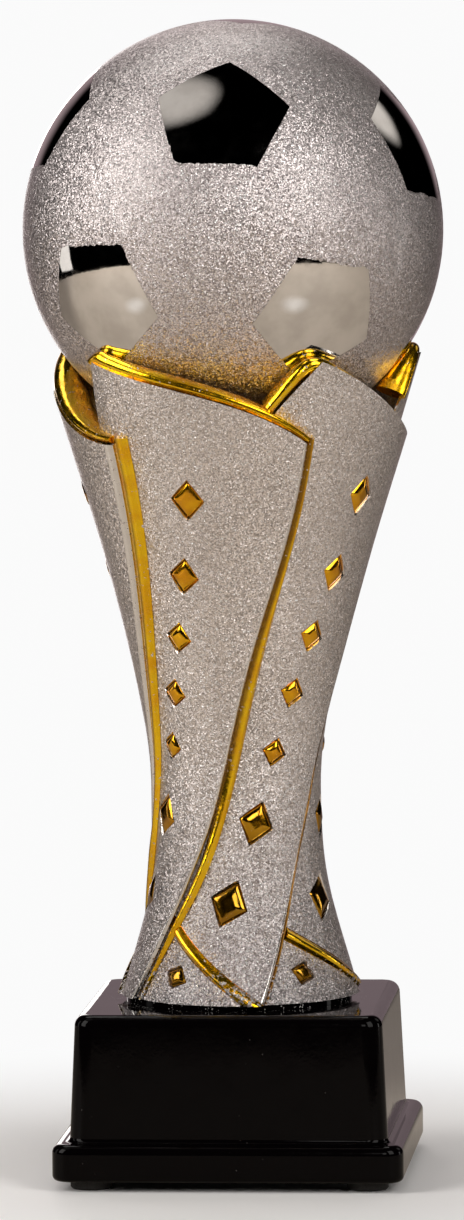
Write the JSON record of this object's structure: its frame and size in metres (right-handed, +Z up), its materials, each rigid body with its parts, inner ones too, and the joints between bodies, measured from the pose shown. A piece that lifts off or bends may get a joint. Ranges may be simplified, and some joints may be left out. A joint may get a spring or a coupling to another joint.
{
  "type": "figure trophy",
  "caption": "Upright football trophy: a glittered silver ball held by a twisted, gold-edged petal column on a stepped gloss black square plinth.",
  "frame": {"origin": "on the ground under the middle of the plinth, level with the undersides of the foot pads", "axes": "+Z up along the column, -Y out of the front face of the plinth, +X to the right seen from the front"},
  "size_m": [0.1092, 0.1092, 0.3],
  "materials": {
    "black_glaze": "high gloss black glaze",
    "pad_rubber": "soft matt black",
    "gold_lustre": "mirror-bright gold lustre over glaze",
    "gold_inlay": "bright gold lustre, slightly pillowed",
    "silver_glitter": "fine silver glitter under clear lacquer",
    "ball_glitter": "fine silver glitter under clear lacquer",
    "pentagon_mirror": "polished silver mirror",
    "plated_steel": "zinc plated"
  },
  "bodies": {
    "root": {"plinth": "black_glaze", "foot_pad_1": "pad_rubber", "foot_pad_2": "pad_rubber", "foot_pad_3": "pad_rubber", "foot_pad_4": "pad_rubber", "collar": "black_glaze", "core": "gold_lustre", "petal_1": "silver_glitter", "foot_facet_1": "silver_glitter", "seam_rib_1": "gold_lustre", "foot_rib_1": "gold_lustre", "rim_bead_1": "gold_lustre", "diamond_inlays_1": "gold_inlay", "petal_2": "silver_glitter", "foot_facet_2": "silver_glitter", "seam_rib_2": "gold_lustre", "foot_rib_2": "gold_lustre", "rim_bead_2": "gold_lustre", "diamond_inlays_2": "gold_inlay", "petal_3": "silver_glitter", "foot_facet_3": "silver_glitter", "seam_rib_3": "gold_lustre", "foot_rib_3": "gold_lustre", "rim_bead_3": "gold_lustre", "diamond_inlays_3": "gold_inlay", "petal_4": "silver_glitter", "foot_facet_4": "silver_glitter", "seam_rib_4": "gold_lustre", "foot_rib_4": "gold_lustre", "rim_bead_4": "gold_lustre", "diamond_inlays_4": "gold_inlay", "petal_5": "silver_glitter", "foot_facet_5": "silver_glitter", "seam_rib_5": "gold_lustre", "foot_rib_5": "gold_lustre", "rim_bead_5": "gold_lustre", "diamond_inlays_5": "gold_inlay", "ball_shell": "ball_glitter", "ball_pentagon_01": "pentagon_mirror", "ball_pentagon_02": "pentagon_mirror", "ball_pentagon_03": "pentagon_mirror", "ball_pentagon_04": "pentagon_mirror", "ball_pentagon_05": "pentagon_mirror", "ball_pentagon_06": "pentagon_mirror", "ball_pentagon_07": "pentagon_mirror", "ball_pentagon_08": "pentagon_mirror", "ball_pentagon_09": "pentagon_mirror", "ball_pentagon_10": "pentagon_mirror", "ball_pentagon_11": "pentagon_mirror", "ball_pentagon_12": "pentagon_mirror", "fixing_screw": "plated_steel", "fixing_washer": "plated_steel", "threaded_insert": "plated_steel"}
  },
  "joints": []
}
